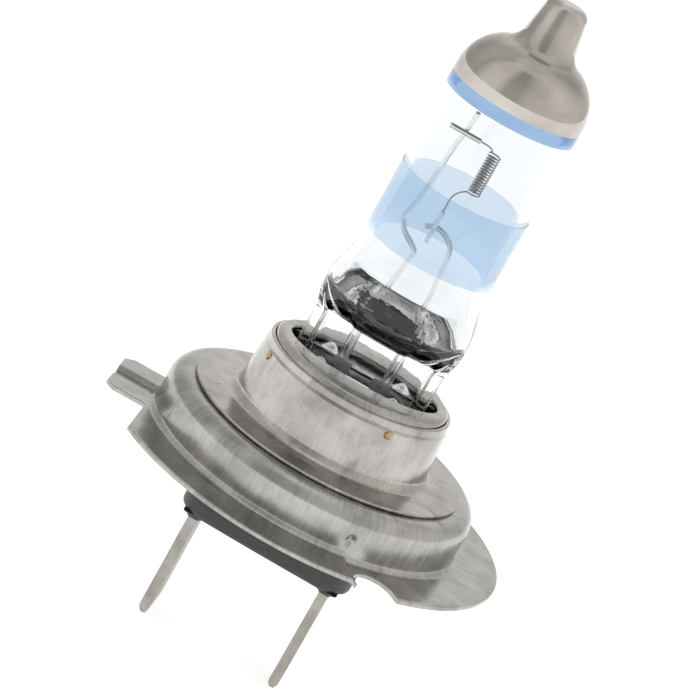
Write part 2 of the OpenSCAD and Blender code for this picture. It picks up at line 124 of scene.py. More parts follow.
def polar_shell(name, angles, section, material, nodes=(), sharp=35):
    """A closed ring: section(angle) gives a closed loop of (radius, height) with a fixed count."""
    verts, faces = [], []
    loops = [section(a) for a in angles]
    n, m = len(loops), len(loops[0])
    for a, loop in zip(angles, loops):
        verts += [(r * math.cos(a), r * math.sin(a), z) for r, z in loop]
    for i in range(n):
        for j in range(m):
            faces.append((i * m + j, ((i + 1) % n) * m + j,
                          ((i + 1) % n) * m + (j + 1) % m, i * m + (j + 1) % m))
    return piece(name, verts, faces, material, nodes, sharp)


def circle_angles(count):
    return [2 * math.pi * i / count for i in range(count)]


def dome_shell(name, profile, material, nodes=(), count=160, sharp=35):
    """A turned solid whose profile starts and ends on the axis."""
    inner = profile[1:-1]
    angles = circle_angles(count)
    m = len(inner)
    verts = [(r * math.cos(a), r * math.sin(a), z) for a in angles for r, z in inner]
    first, last = len(verts), len(verts) + 1
    verts += [(0, 0, profile[0][1]), (0, 0, profile[-1][1])]
    faces = []
    for i in range(count):
        k = (i + 1) % count
        faces += [(i * m + j, k * m + j, k * m + j + 1, i * m + j + 1) for j in range(m - 1)]
        faces.append((first, k * m, i * m))
        faces.append((last, i * m + m - 1, k * m + m - 1))
    return piece(name, verts, faces, material, nodes, sharp)


def smooth_path(points, steps):
    """Points on a smooth curve through the given ones."""
    p = [Vector(q) for q in points]
    out = []
    for i in range(len(p) - 1):
        a, b, c, d = p[max(i - 1, 0)], p[i], p[i + 1], p[min(i + 2, len(p) - 1)]
        for k in range(steps):
            t = k / steps
            out.append((2 * b + (c - a) * t + (2 * a - 5 * b + 4 * c - d) * t ** 2
                        + (3 * b - a - 3 * c + d) * t ** 3) / 2)
    return out + [p[-1]]


def wire(name, path, radius, material, nodes=(), sides=14, dome=True):
    """A round wire along a path, with rounded ends. radius is a number or a function of the path's share."""
    last = len(path) - 1
    size = radius if callable(radius) else lambda share: radius
    tangents = [(path[min(i + 1, last)] - path[max(i - 1, 0)]).normalized() for i in range(last + 1)]
    side = tangents[0].orthogonal()
    rings = []
    for i in range(last + 1):
        side = (side - side.dot(tangents[i]) * tangents[i]).normalized()
        rings.append((path[i], tangents[i], side.copy(), size(i / last)))
    if dome:
        ends = []
        for (p, t, s, r), sign in ((rings[0], -1), (rings[-1], 1)):
            ends.append([(p + sign * t * r * 0.6 * math.sin(a), t, s, r * math.cos(a))
                         for a in (math.radians(30), math.radians(60), math.radians(80))])
        rings = ends[0][::-1] + rings + ends[1]
    verts, faces = [], []
    for p, t, s, r in rings:
        across = t.cross(s)
        for k in range(sides):
            a = 2 * math.pi * k / sides
            verts.append(p + r * (math.cos(a) * s + math.sin(a) * across))
    for i in range(len(rings) - 1):
        for k in range(sides):
            n = (k + 1) % sides
            faces.append((i * sides + k, i * sides + n, (i + 1) * sides + n, (i + 1) * sides + k))
    faces.append(tuple(range(sides)))
    faces.append(tuple(range(len(verts) - 1, len(verts) - 1 - sides, -1)))
    return piece(name, verts, faces, material, nodes, 50)


def loft(name, rings, material, nodes=(), sharp=35, extra=()):
    """A closed skin through rings of equal count, capped at both ends. extra rings make a hollow."""
    verts, faces = [], []
    hollow_from = None
    for stack in [rings, *extra]:
        base, m = len(verts), len(stack[0])
        hollow_from = len(faces) if base else None
        for ring in stack:
            verts += ring
        for i in range(len(stack) - 1):
            for k in range(m):
                n = (k + 1) % m
                faces.append((base + i * m + k, base + i * m + n,
                              base + (i + 1) * m + n, base + (i + 1) * m + k))
        faces.append(tuple(base + k for k in range(m)))
        faces.append(tuple(base + (len(stack) - 1) * m + k for k in range(m)))
    return piece(name, verts, faces, material, nodes, sharp, hollow_from)


# ---------------------------------------------------------------- material helpers
class Nodes:
    """Short ways to add nodes to a tree."""

    def __init__(self, tree):
        self.tree = tree

    def node(self, kind, **settings):
        n = self.tree.nodes.new(kind)
        for key, value in settings.items():
            setattr(n, key, value)
        return n

    def link(self, a, b):
        self.tree.links.new(a, b)

    def coordinates(self, scale=(1, 1, 1)):
        """Object coordinates in millimetres times scale."""
        place = self.node("ShaderNodeTexCoord").outputs["Object"]
        mapping = self.node("ShaderNodeMapping")
        mapping.inputs["Scale"].default_value = [s / MM for s in scale]
        self.link(place, mapping.inputs["Vector"])
        return mapping.outputs["Vector"]

    def around(self, per_turn, along):
        """Coordinates that run round the lamp axis and along it: (angle, height, radius)."""
        split = self.node("ShaderNodeSeparateXYZ")
        self.link(self.coordinates(), split.inputs[0])
        angle = self.math("ARCTAN2", split.outputs["Y"], split.outputs["X"])
        radius = self.node("ShaderNodeVectorMath", operation="LENGTH")
        flat = self.node("ShaderNodeCombineXYZ")
        self.link(split.outputs["X"], flat.inputs["X"])
        self.link(split.outputs["Y"], flat.inputs["Y"])
        self.link(flat.outputs[0], radius.inputs[0])
        joined = self.node("ShaderNodeCombineXYZ")
        self.link(self.math("MULTIPLY", angle, per_turn), joined.inputs["X"])
        self.link(self.math("MULTIPLY", split.outputs["Z"], along), joined.inputs["Y"])
        self.link(self.math("MULTIPLY", radius.outputs["Value"], along), joined.inputs["Z"])
        return joined.outputs[0]

    def share_of_turn(self, x, y):
        """Direction about the lamp axis: 0 and 1 are -X, 0.25 is -Y, 0.5 is +X, 0.75 is +Y."""
        return self.remap(self.math("ARCTAN2", y, x), -math.pi, math.pi, 0, 1)

    def remap(self, value, from_low, from_high, low, high, smooth=False):
        n = self.node("ShaderNodeMapRange", interpolation_type="SMOOTHSTEP" if smooth else "LINEAR")
        for key, number in (("From Min", from_low), ("From Max", from_high),
                            ("To Min", low), ("To Max", high)):
            n.inputs[key].default_value = number
        self.link(value, n.inputs["Value"])
        return n.outputs["Result"]

    def math(self, operation, a, b=None):
        n = self.node("ShaderNodeMath", operation=operation)
        for socket, value in zip(n.inputs, (a, b)):
            if isinstance(value, (int, float)):
                socket.default_value = value
            elif value is not None:
                self.link(value, socket)
        return n.outputs[0]

    def noise(self, vector, scale, detail=3.0, rough=0.5):
        n = self.node("ShaderNodeTexNoise")
        n.inputs["Scale"].default_value = scale
        n.inputs["Detail"].default_value = detail
        n.inputs["Roughness"].default_value = rough
        self.link(vector, n.inputs["Vector"])
        return n.outputs["Fac"]

    def ramp(self, factor, *stops):
        n = self.node("ShaderNodeValToRGB")
        elements = n.color_ramp.elements
        while len(elements) < len(stops):
            elements.new(0.5)
        for e, (position, colour) in zip(elements, stops):
            e.position = position
            e.color = (*colour, 1) if len(colour) == 3 else colour
        self.link(factor, n.inputs["Fac"])
        return n.outputs["Color"]

    def mix(self, factor, a, b, blend="MIX"):
        n = self.node("ShaderNodeMix", data_type="RGBA", blend_type=blend)
        for socket, value in ((n.inputs[0], factor), (n.inputs[6], a), (n.inputs[7], b)):
            if isinstance(value, (int, float)):
                socket.default_value = value
            elif isinstance(value, tuple):
                socket.default_value = (*value, 1)
            else:
                self.link(value, socket)
        return n.outputs[2]

    def span(self, factor, lowest, highest):
        return self.remap(factor, 0, 1, lowest, highest)


class Shader(Nodes):
    """A node material: every socket of the Principled shader that isn't linked holds a constant."""

    def __init__(self, name, **sockets):
        self.mat = bpy.data.materials.new(name)
        self.mat.use_nodes = True
        super().__init__(self.mat.node_tree)
        self.bsdf = self.tree.nodes["Principled BSDF"]
        for key, value in sockets.items():
            self.bsdf.inputs[key.replace("_", " ")].default_value = value

    def bumps(self, *layers):
        """Bump layers of (height, strength, depth in millimetres), from coarse to fine."""
        normal = None
        for height, strength, depth in layers:
            n = self.node("ShaderNodeBump")
            n.inputs["Strength"].default_value = strength
            n.inputs["Distance"].default_value = depth * MM
            self.link(height, n.inputs["Height"])
            if normal:
                self.link(normal, n.inputs["Normal"])
            normal = n.outputs["Normal"]
        self.set("Normal", normal)

    def set(self, socket, value):
        self.link(value, self.bsdf.inputs[socket])


def steel(name, dark, light, rough, streak=0.35, wave=0.25, painted_reflection_depth=0.45, per_turn=60, along=0.5):
    """Stamped stainless sheet: drawing marks along the lamp axis, faint waves and stains; the colour's dark
    blotches round the axis are painted dark reflections, and its streaks and stains are partly painted
    reflection bands.
    """
    s = Shader(name, Metallic=1.0, Anisotropic=0.3)
    place = s.coordinates()
    marks = s.noise(s.around(per_turn, along), 1.0, 4.0, 0.6)
    grain = s.noise(place, 9.0, 3.0)
    stains = s.noise(place, 0.28, 4.0, 0.6)
    waves = s.noise(s.around(2.6, 0.16), 1.0, 2.0)
    # The tone's stains and the streaks of the drawing marks are partly real stains and marks, partly painted
    # reflection bands.
    tone = s.ramp(stains, (0.32, dark), (0.62, light))
    tone = s.mix(streak, tone, s.ramp(marks, (0.3, dark), (0.7, light)))
    # Painted dark reflections: blotches round the axis darken the colour in place of dark parts of the studio
    # seen in the metal.
    painted_reflection_blotches = s.noise(s.around(5.0, 0.35), 1.0, 3.0, 0.65)
    painted_dark_reflection = s.mix(s.remap(painted_reflection_blotches, 0.58, 0.72, 0, painted_reflection_depth, smooth=True), (1.0, 1.0, 1.0), (0.34, 0.32, 0.30))
    s.set("Base Color", s.mix(1.0, tone, painted_dark_reflection, "MULTIPLY"))
    blend = s.math("ADD", s.math("MULTIPLY", marks, 0.5), s.math("MULTIPLY", grain, 0.5))
    s.set("Roughness", s.span(blend, rough[0], rough[1]))
    s.bumps((waves, wave, 0.25), (marks, 0.25, 0.02), (grain, 0.2, 0.01))
    return s.mat


SATIN = steel("satin_steel", (0.25, 0.24, 0.225), (0.52, 0.505, 0.48), (0.10, 0.30), painted_reflection_depth=0.35)
STAMPED = steel("stamped_steel", (0.24, 0.235, 0.22), (0.50, 0.49, 0.465), (0.12, 0.34), 0.45, 0.3, 0.5)
# A lighter copy of the steel: painted light for the clip plate, which sits in the shade of the holder's mouth.
PAINTED_LIGHT_STEEL = steel("bright_steel", (0.80, 0.79, 0.76), (0.95, 0.94, 0.91), (0.12, 0.3), wave=0.4, painted_reflection_depth=0.1)


QUARTZ_IOR = 1.458
FILM_IOR = 1.45
PRESSED_Z = (19.0, 12.5)


def glass_material():
    """Quartz, rippled towards the pinch seal where it was pressed."""
    s = Shader("quartz_glass", Base_Color=(0.86, 0.875, 0.89, 1), Roughness=0.0, IOR=QUARTZ_IOR,
               Transmission_Weight=1.0)
    split = s.node("ShaderNodeSeparateXYZ")
    s.link(s.coordinates(), split.inputs[0])
    press = s.remap(split.outputs["Z"], *PRESSED_Z, 0, 1)
    ripple = s.noise(s.coordinates(), 0.9, 2.0)
    s.bumps((s.math("MULTIPLY", ripple, press), 0.3, 0.1))
    return s.mat


def film(name, dark, light):
    """A clear interference coating that tints what is seen through it, a little unevenly."""
    s = Shader(name, Roughness=0.0, IOR=FILM_IOR, Transmission_Weight=1.0)
    drift = s.noise(s.around(0.7, 0.3), 1.0, 2.0)
    s.set("Base Color", s.ramp(drift, (0.3, dark), (0.7, light)))
    return s.mat


def wire_metal(name, dark, light, rough):
    s = Shader(name, Metallic=1.0)
    marks = s.noise(s.coordinates((1, 1, 0.2)), 6.0, 3.0)
    s.set("Base Color", s.ramp(marks, (0.3, dark), (0.7, light)))
    s.set("Roughness", s.span(marks, rough[0], rough[1]))
    s.bumps((marks, 0.3, 0.01))
    return s.mat


def chrome_material():
    s = Shader("mirror_coating", Metallic=1.0)
    drift = s.noise(s.around(0.8, 0.25), 1.0, 3.0)
    s.set("Base Color", s.ramp(drift, (0.3, (0.30, 0.275, 0.25)), (0.7, (0.56, 0.53, 0.49))))
    s.set("Roughness", s.span(s.noise(s.coordinates(), 3.0, 3.0), 0.03, 0.09))
    s.bumps((s.noise(s.around(1.2, 0.3), 1.0, 2.0), 0.12, 0.15))
    return s.mat


def plastic_material():
    s = Shader("dark_plastic", IOR=1.5)
    grain = s.noise(s.coordinates(), 14.0, 3.0)
    scuffs = s.noise(s.coordinates((0.5, 0.5, 2.0)), 1.2, 4.0, 0.65)
    s.set("Base Color", s.ramp(scuffs, (0.35, (0.028, 0.029, 0.031)), (0.7, (0.050, 0.051, 0.054))))
    s.set("Roughness", s.span(scuffs, 0.34, 0.55))
    s.bumps((scuffs, 0.15, 0.05), (grain, 0.25, 0.02))
    return s.mat


def terminal_material():
    s = Shader("terminal_metal", Metallic=1.0)
    rolled = s.noise(s.coordinates((3.0, 3.0, 0.25)), 2.2, 4.0, 0.6)
    stains = s.noise(s.coordinates(), 0.7, 4.0, 0.6)
    tone = s.ramp(stains, (0.35, (0.28, 0.26, 0.235)), (0.65, (0.45, 0.43, 0.395)))
    rolling = s.ramp(rolled, (0.3, (0.25, 0.235, 0.215)), (0.7, (0.52, 0.50, 0.46)))
    s.set("Base Color", s.mix(0.4, tone, rolling))
    s.set("Roughness", s.span(rolled, 0.32, 0.52))
    s.bumps((rolled, 0.3, 0.02))
    return s.mat


GLASS = glass_material()
CHROME = chrome_material()
DEEP_BLUE = film("deep_blue_coating", (0.27, 0.43, 0.68), (0.40, 0.56, 0.78))
PALE_BLUE = film("pale_blue_coating", (0.64, 0.76, 0.89), (0.71, 0.82, 0.92))
TUNGSTEN = wire_metal("tungsten", (0.22, 0.22, 0.23), (0.42, 0.42, 0.43), (0.2, 0.35))
MOLY = wire_metal("molybdenum", (0.80, 0.79, 0.77), (0.95, 0.94, 0.92), (0.12, 0.26))
FOIL = wire_metal("sealing_foil", (0.62, 0.63, 0.64), (0.80, 0.81, 0.82), (0.3, 0.5))
PLASTIC = plastic_material()
TERMINAL = terminal_material()
WELD = wire_metal("weld_metal", (0.30, 0.20, 0.08), (0.62, 0.50, 0.28), (0.3, 0.5))


# ---------------------------------------------------------------- quartz bulb
# Profile of the dome and the nub, in mm and degrees
DOME_Z, DOME_H, DOME_FLAT_R, DOME_END = 33.7, 3.75, 1.6, 67.4
NUB_R, NUB_LEAN, NUB_FILLET, FILLET_START, TIP_ROUND = 1.66, 10, 1.6, 246.9, 0.8


def dome_points():
    """Outer half-profile: the dome, the fillet at the nub's foot, the nub and its rounded end."""
    points = []
    for i in range(29):
        a = math.radians(DOME_END * i / 28)
        points.append((DOME_FLAT_R + (GLASS_R - DOME_FLAT_R) * math.cos(a), DOME_Z + DOME_H * math.sin(a)))
    start = math.radians(FILLET_START)
    centre_r = points[-1][0] - NUB_FILLET * math.cos(start)
    centre_z = points[-1][1] - NUB_FILLET * math.sin(start)
    for i in range(1, 17):
        a = math.radians(FILLET_START + (180 + NUB_LEAN - FILLET_START) * i / 16)
        points.append((centre_r + NUB_FILLET * math.cos(a), centre_z + NUB_FILLET * math.sin(a)))
    for i in range(13):
        a = math.radians(NUB_LEAN + (90 - NUB_LEAN) * i / 12)
        points.append((NUB_R - TIP_ROUND * (1 - math.cos(a)), TIP_Z - TIP_ROUND * (1 - math.sin(a))))
    return points + [(0, TIP_Z)]


PINCH_X, PINCH_Y, PANEL_Y, RIB_X, RAIL_W = 5.5, 1.9, 1.1, 1.9, 0.85
BULB_BOTTOM_Z = 13.1
SHOULDER_Z = 14.5
BLEND_H = 5.0
TAPER_H = 4.0


def pinch_quadrant():
    """First quadrant of the pinch seal's section, from +X to +Y."""
    rib_y = PINCH_Y - 0.15
    corners = [(PINCH_X, 0, 0), (PINCH_X, PINCH_Y, 0.3), (PINCH_X - RAIL_W, PINCH_Y, 0.22),
               (PINCH_X - RAIL_W - 0.12, PANEL_Y, 0.3), (RIB_X + 0.15, PANEL_Y, 0.35),
               (RIB_X, rib_y, 0.25), (0, rib_y, 0)]
    dense = []
    line = rounded(corners, 5)
    for (x0, y0), (x1, y1) in zip(line, line[1:]):
        steps = max(1, round(math.hypot(x1 - x0, y1 - y0) / 0.16))
        dense += [(x0 + (x1 - x0) * k / steps, y0 + (y1 - y0) * k / steps) for k in range(steps)]
    return dense + [line[-1]]


def pinch_ring_points():
    """The whole section as (x, y, angle on the tube's circle that the point grows into)."""
    quadrant = pinch_quadrant()
    lengths = [0.0]
    for (x0, y0), (x1, y1) in zip(quadrant, quadrant[1:]):
        lengths.append(lengths[-1] + math.hypot(x1 - x0, 0.35 * (y1 - y0)) + 1e-4)
    quarter = [(x, y, math.pi / 2 * s / lengths[-1]) for (x, y), s in zip(quadrant, lengths)]
    half = quarter + [(-x, y, math.pi - a) for x, y, a in quarter[-2::-1]]
    return half + [(x, -y, -a) for x, y, a in half[-2:0:-1]]


def tube_radius(z):
    share = min(max((z - SHOULDER_Z) / BLEND_H, 0), 1)
    return GLASS_R + (SHOULDER_R - GLASS_R) * (1 + math.cos(math.pi * share)) / 2


def bulb_rings():
    section = pinch_ring_points()
    rings = []
    edge = 0.25
    for inset, lift in ((edge, 0), (edge * 0.3, edge * 0.3), (0, edge)):
        rings.append([(x - math.copysign(min(inset, abs(x)), x), y - math.copysign(min(inset, abs(y)), y),
                       PINCH_BOTTOM_Z + lift) for x, y, a in section])
    top = BULB_BOTTOM_Z - 0.5
    for k in range(1, 16):
        z = PINCH_BOTTOM_Z + edge + (top - PINCH_BOTTOM_Z - edge) * k / 15
        rings.append([(x, y, z) for x, y, a in section])
    for k in range(1, 29):
        share = k / 28
        z = top + TAPER_H * (1 - math.cos(math.pi / 2 * share))
        grown = math.sin(math.pi / 2 * share)
        wide = min(1, max(0, (z - top) / (SHOULDER_Z - top)))
        wide = math.sin(math.pi / 2 * wide)
        r = tube_radius(z)
        reach = PINCH_X + (r - PINCH_X) * wide
        rings.append([((x / PINCH_X * (1 - grown) + math.cos(a) * grown) * reach,
                       y * (1 - grown) + math.sin(a) * r * grown, z) for x, y, a in section])
    z = top + TAPER_H
    while z < DOME_Z - 0.2:
        z += 0.5
        rings.append([(tube_radius(z) * math.cos(a), tube_radius(z) * math.sin(a), z) for x, y, a in section])
    for r, h in dome_points()[1:-1]:
        r = max(r, 0.02)
        rings.append([(r * math.cos(a), r * math.sin(a), h) for x, y, a in section])
    return rings, [a for x, y, a in section]


WALL = 0.8
CAVITY_R = GLASS_R - WALL
CAVITY_Z = BULB_BOTTOM_Z + 0.6
CAVITY_ROUND = 1.1


def cavity_rings(angles):
    """The hollow keeps one wall's distance from the bulb's bottom, which flattens into the seal."""
    low_z = BULB_BOTTOM_Z - 0.5 + WALL
    rings = [[(0.02 * math.cos(a), 0.02 * math.sin(a), CAVITY_Z) for a in angles]]
    for k in range(1, 25):
        z = CAVITY_Z + (TAPER_H - 0.1) * (k / 24) ** 1.6
        bottom = min(1, (z - CAVITY_Z) / CAVITY_ROUND)
        filled = math.sqrt(1 - (1 - bottom) ** 2)
        lift = min(1, (z - low_z) / TAPER_H)
        reach = tube_radius(z) - WALL
        half_y = min(reach, PINCH_Y - WALL + (reach - PINCH_Y + WALL) * lift)
        rings.append([(reach * filled * math.cos(a), half_y * filled * math.sin(a), z) for a in angles])
    z += 0.1
    while z < DOME_Z - 0.4:
        z += 0.5
        r = tube_radius(z) - WALL
        rings.append([(r * math.cos(a), r * math.sin(a), z) for a in angles])
    for i in range(21):
        a = math.radians(90 * i / 20)
        r, h = max(0.02, CAVITY_R * math.cos(a)), DOME_Z + (DOME_H - 1.1) * math.sin(a)
        rings.append([(r * math.cos(t), r * math.sin(t), h) for t in angles])
    return rings


def build_bulb():
    rings, angles = bulb_rings()
    loft("quartz_bulb", rings, GLASS, ["glass_envelope"], 60, [cavity_rings(angles)])
    gap = 0.012
    skin = [(GLASS_R, MIRROR_Z)] + dome_points()
    top = len(skin) - 1
    outer = []
    for i, (r, z) in enumerate(skin):
        a, b = Vector(skin[max(i - 1, 0)]), Vector(skin[min(i + 1, top)])
        t = (b - a).normalized()
        outer.append((Vector((r, z)) + 0.055 * Vector((t.y, -t.x))) if i < top else Vector((0, z + 0.055)))
    inner = [Vector(p) + (o - Vector(p)).normalized() * gap for p, o in zip(skin, outer)]
    inner[-1] = Vector((0, TIP_Z + gap))
    profile = [tuple(p) for p in inner[::-1]] + [tuple(p) for p in outer]
    dome_shell("mirror_tip", profile, CHROME, ["mirror_cap"], sharp=60)
    for name, (z0, z1), material, slot, node in (
            ("narrow_band", UPPER_BAND_Z, DEEP_BLUE, "deep_blue_coating", "upper_blue_band"),
            ("wide_band", BAND_Z, PALE_BLUE, "pale_blue_coating", "middle_blue_band")):
        r0, r1 = GLASS_R + gap, GLASS_R + 0.05
        steps = 12
        loop = [(r1, z0 + (z1 - z0) * k / steps) for k in range(steps + 1)]
        loop += [(r0, z1 - (z1 - z0) * k / steps) for k in range(steps + 1)]
        polar_shell(name, circle_angles(192), lambda a, loop=loop: loop, material, [node])


# ---------------------------------------------------------------- filament and leads
LEAD_R, POST_R = 0.21, 0.2
POST_Y = -(LEAD_R + POST_R + 0.01)
LEAD_X = 1.7
UPPER_POST_Z = 29.35
COIL_R = 0.47
LOWER_POST_X = -0.68


def build_leads():
    lead_end = 9.0
    long_route = [(-2.0, 0, 31), (-2.15, 0, 29.4), (-2.4, 0, 27.4), (-2.6, 0, 24.6), (-2.95, 0, 22),
                  (-3.05, 0, 21.3), (-2.6, 0, 20.6), (-1.7, 0, 20), (-1.15, 0, 19.5), (-1.2, 0, 18.8),
                  (-1.35, 0, 17.6), (-1.6, 0, 15.6), (-LEAD_X, 0, 14.2), (-LEAD_X, 0, lead_end)]
    short_route = [(-1.3, 0, 21.7), (-0.5, 0, 21.95), (0.35, 0, 21.75), (1.0, 0, 21.2), (1.25, 0, 20.5),
                   (1.4, 0, 19.2), (1.55, 0, 16.9), (LEAD_X, 0, 14.2), (LEAD_X, 0, lead_end)]
    wire("long_lead", smooth_path(long_route, 8), LEAD_R, MOLY, ["long_lead_wire"], 18)
    wire("short_lead", smooth_path(short_route, 8), LEAD_R, MOLY, ["short_lead_wire"], 18)

    def post(name, start, end, node):
        path = [Vector(start).lerp(Vector(end), k / 24) for k in range(25)]
        wire(name, path, lambda s: POST_R * (1 - 0.12 * math.exp(-((s - 0.5) / 0.06) ** 2)),
             MOLY, [node], 18)

    post("upper_filament_post", (-3.3, POST_Y, UPPER_POST_Z), (-0.85, POST_Y, UPPER_POST_Z), "upper_post")
    post("lower_filament_post", (LOWER_POST_X, POST_Y, 20.8), (LOWER_POST_X, POST_Y, 23.35), "lower_post")

    turns, per_turn = 15, 30
    coil = []
    for i in range(turns * per_turn + 1):
        a = math.pi + 2 * math.pi * i / per_turn
        coil.append(Vector((0.6 + COIL_R * math.cos(a), COIL_R * math.sin(a),
                            COIL_Z[0] + (COIL_Z[1] - COIL_Z[0]) * i / (turns * per_turn))))
    lower = smooth_path([(LOWER_POST_X, POST_Y, 23.4), (LOWER_POST_X, POST_Y, 24.5), (-0.4, -0.2, 25.1),
                         coil[0]], 10)
    upper = smooth_path([coil[-1], (0.27, -0.2, COIL_Z[1] + 0.25), (-0.2, POST_Y, UPPER_POST_Z),
                         (-0.78, POST_Y, UPPER_POST_Z)], 10)
    wire("filament", lower[:-1] + coil + upper[1:], 0.058, TUNGSTEN, ["filament_coil"], 10)


# ---------------------------------------------------------------- neck
def build_neck():
    t = 0.3
    top = HOLDER_Z[1]
    count = 256

    def holder_section(a):
        mouth = 1 / math.hypot(math.cos(a) / 6.25, math.sin(a) / 4.0)
        sink = 0.16
        return rounded([(HOLDER_R, HOLDER_Z[0], 0.05), (HOLDER_R, top, 0.75),
                        (min(HOLDER_R - 0.85, mouth + 0.1), top - sink * 0.3, 0.1),
                        (mouth, top - sink, 0.14), (mouth + 0.02, top - sink - t, 0.1),
                        (min(HOLDER_R - 0.7, mouth + 0.4), top - t - 0.05, 0.1),
                        (HOLDER_R - t, top - t, 0.45), (HOLDER_R - t, HOLDER_Z[0], 0.05)], 6)

    polar_shell("burner_holder", circle_angles(count), holder_section, SATIN,
                ["holder_cup"], 50)

    plate_z = 9.1
    slot_x, slot_y = 6.3, PINCH_Y + 0.05
    corner = math.atan2(slot_y, slot_x)
    angles = sorted(circle_angles(count) + [corner, math.pi - corner, math.pi + corner, 2 * math.pi - corner])

    def dimple(x, y):
        d = min(math.hypot(abs(x) - 3.1, abs(y) - 2.75) / 0.9, 1.0)
        return 0.5 * (0.5 + 0.5 * math.cos(math.pi * d))

    def clip_section(a):
        c, s = abs(math.cos(a)), abs(math.sin(a))
        slot = min(slot_x / max(c, 1e-6), slot_y / max(s, 1e-6))
        outer = CLIP_R - 0.25
        tops = []
        for k in range(17):
            r = outer + (slot + 0.05 - outer) * k / 16
            tops.append((r, plate_z + dimple(r * math.cos(a), r * math.sin(a))))
        unders = [(r, z - t) for r, z in tops[::-1]]
        return ([(CLIP_R, PINCH_BOTTOM_Z), (CLIP_R, plate_z - 0.25), (CLIP_R - 0.07, plate_z - 0.07)] + tops
                + [(slot, plate_z - 0.08), (slot, plate_z - t + 0.08)] + unders
                + [(CLIP_R - t, plate_z - t - 0.05), (CLIP_R - t, PINCH_BOTTOM_Z)])

    # The clip uses the lighter copy of the steel, painted light for a plate that lies in shade.
    polar_shell("pinch_seal_clip", angles, clip_section, PAINTED_LIGHT_STEEL, ["pinch_clip"], 50)

    rim, foot = 7.6, 8.05
    sleeve = rounded([(rim - t, SLEEVE_Z, 0.06), (rim + 0.02, SLEEVE_Z, 0.12),
                      (rim + 0.06, SLEEVE_Z - 0.55, 0.3), (rim + 0.14, SLEEVE_Z - 0.8, 0.3),
                      (foot, BRIM_Z, 0.8), (BRIM_R, BRIM_Z, 0.08),
                      (BRIM_R, BRIM_Z - t, 0.17), (foot - t + 0.2, BRIM_Z - t, 0.9)], 8)
    polar_shell("adjusting_ring", circle_angles(count), lambda a: sleeve, SATIN,
                ["adjusting_sleeve"], 50)

    weld_z, weld_r = 8.1, 7.82
    for i in range(4):
        a = math.radians(32 + 90 * i)
        disc(f"sleeve_weld_{i + 1}", Vector((weld_r * math.cos(a), weld_r * math.sin(a), weld_z)),
             Vector((math.cos(a), math.sin(a), 0.1)), 0.34, 0.07, "sleeve_welds")
        b = math.radians(20 + 90 * i)
        disc(f"brim_weld_{i + 1}", Vector((9.8 * math.cos(b), 9.8 * math.sin(b), BRIM_Z)),
             Vector((0, 0, 1)), 0.5, 0.04, "brim_welds")


def disc(name, centre, normal, radius, height, node):
    """A weld spot: a low crater with a raised lip."""
    material = WELD if node == "sleeve_welds" else SATIN
    turn = normal.normalized().to_track_quat("Z", "Y").to_matrix()
    profile = [(0, -0.15), (radius, -0.15), (radius, 0), (radius * 0.85, height * 0.8),
               (radius * 0.6, height), (radius * 0.35, height * 0.5), (0, height * 0.35)]
    count = 28
    verts, faces = [], []
    for r, z in profile:
        for i in range(count):
            a = 2 * math.pi * i / count
            uneven = 1 + 0.06 * math.sin(3 * a + centre.x) + 0.04 * math.sin(5 * a + centre.y)
            verts.append(centre + turn @ Vector((r * uneven * math.cos(a), r * uneven * math.sin(a), z)))
    for j in range(len(profile) - 1):
        for i in range(count):
            n = (i + 1) % count
            faces.append((j * count + i, j * count + n, (j + 1) * count + n, (j + 1) * count + i))
    piece(name, verts, faces, material, [node], 60)


# ---------------------------------------------------------------- base
SHEET = 0.35
FLANGE_R, LOBE_DROP, SIDE_X, TAB_HALF, TAB_END = 16.4, 0.3, 13.1, 3.85, 16.5
COLLAR_R, COLLAR_ROUND, ROOT_R, MOUTH_R = 12.9, 1.3, 0.5, 9.3
NOTCH_ANGLE, NOTCH_D, NOTCH_R = math.radians(58.5), FLANGE_R - 0.65, 1.65
BEND = math.radians(65.6)
BEND_HALF = math.radians(1.1)
TURN = math.radians(2.3)
GROOVE_HALF, GROOVE_DEPTH, GROOVE_SLOPE = 1.25, 0.4, 0.2
TAB_CHAMFER = 0.7
DENT = (math.radians(-66.5), 1.35)


def flange_edge(a):
    """Distance of the flange's edge from the axis, at an angle from the ring's own +X."""
    a = math.atan2(math.sin(a), math.cos(a))
    r = LOBE_R if abs(a) < NOTCH_ANGLE else FLANGE_R
    off = abs(a) - NOTCH_ANGLE
    if abs(NOTCH_D * math.sin(off)) < NOTCH_R and abs(off) < 0.3:
        r = min(r, NOTCH_D * math.cos(off) - math.sqrt(NOTCH_R ** 2 - (NOTCH_D * math.sin(off)) ** 2))
    if math.cos(a) < 0:
        c, s = -math.cos(a), max(abs(math.sin(a)), 1e-6)
        tab = min(TAB_END / c, TAB_HALF / s, (TAB_END + TAB_HALF - TAB_CHAMFER) / (c + s))
        r = max(min(r, SIDE_X / c), tab)
    return r


def flange_angles():
    special = [math.pi + math.radians(k * 0.2) for k in range(-95, 96)]
    reach = math.asin(NOTCH_R / NOTCH_D)
    for sign in (-1, 1):
        special += [sign * (NOTCH_ANGLE + reach * k / 24) for k in range(-24, 25)]
        special += [sign * (NOTCH_ANGLE + reach * k) for k in (-1.001, -0.995, 0.995, 1.001)]
        special += [sign * (BEND + BEND_HALF * k / 4) for k in range(-5, 6)]
        special += [math.pi + sign * math.atan2(TAB_HALF - cut, x)
                    for x, cut in ((SIDE_X, 0), (TAB_END - TAB_CHAMFER, 0), (TAB_END, TAB_CHAMFER))]
        special.append(math.pi + sign * math.acos(SIDE_X / FLANGE_R))
    base = [2 * math.pi * i / 480 for i in range(480)]
    return sorted({round(a % (2 * math.pi), 5) for a in special + base})


def sunk(x, y):
    """Depth of the groove pressed into the keying tab."""
    along = min(max((-COLLAR_R - 0.12 - x) / 0.3, 0), 1)
    across = min(max((GROOVE_HALF - abs(y)) / GROOVE_SLOPE, 0), 1)
    return GROOVE_DEPTH * along * across * across * (3 - 2 * across)


